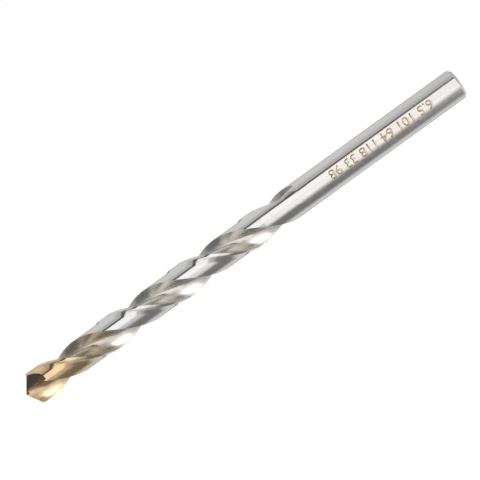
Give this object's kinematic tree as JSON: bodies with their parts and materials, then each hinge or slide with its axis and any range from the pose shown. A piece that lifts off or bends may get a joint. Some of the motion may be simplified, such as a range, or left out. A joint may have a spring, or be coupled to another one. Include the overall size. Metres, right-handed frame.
{
  "type": "twist drill bit",
  "caption": "Twist drill bit with helical flutes, narrow margins, a cone-shaped cutting point and a plain parallel shank, for boring round holes.",
  "frame": {"origin": "centre of the shank's flat end face", "axes": "+Z along the drill's axis, from the shank's end to the point"},
  "size_m": [0.0065, 0.0064, 0.101],
  "materials": {
    "steel": "bright ground high-speed steel, with a gold-coloured coating that fades out behind the point"
  },
  "bodies": {
    "root": {"twist_drill": "steel"}
  },
  "joints": []
}
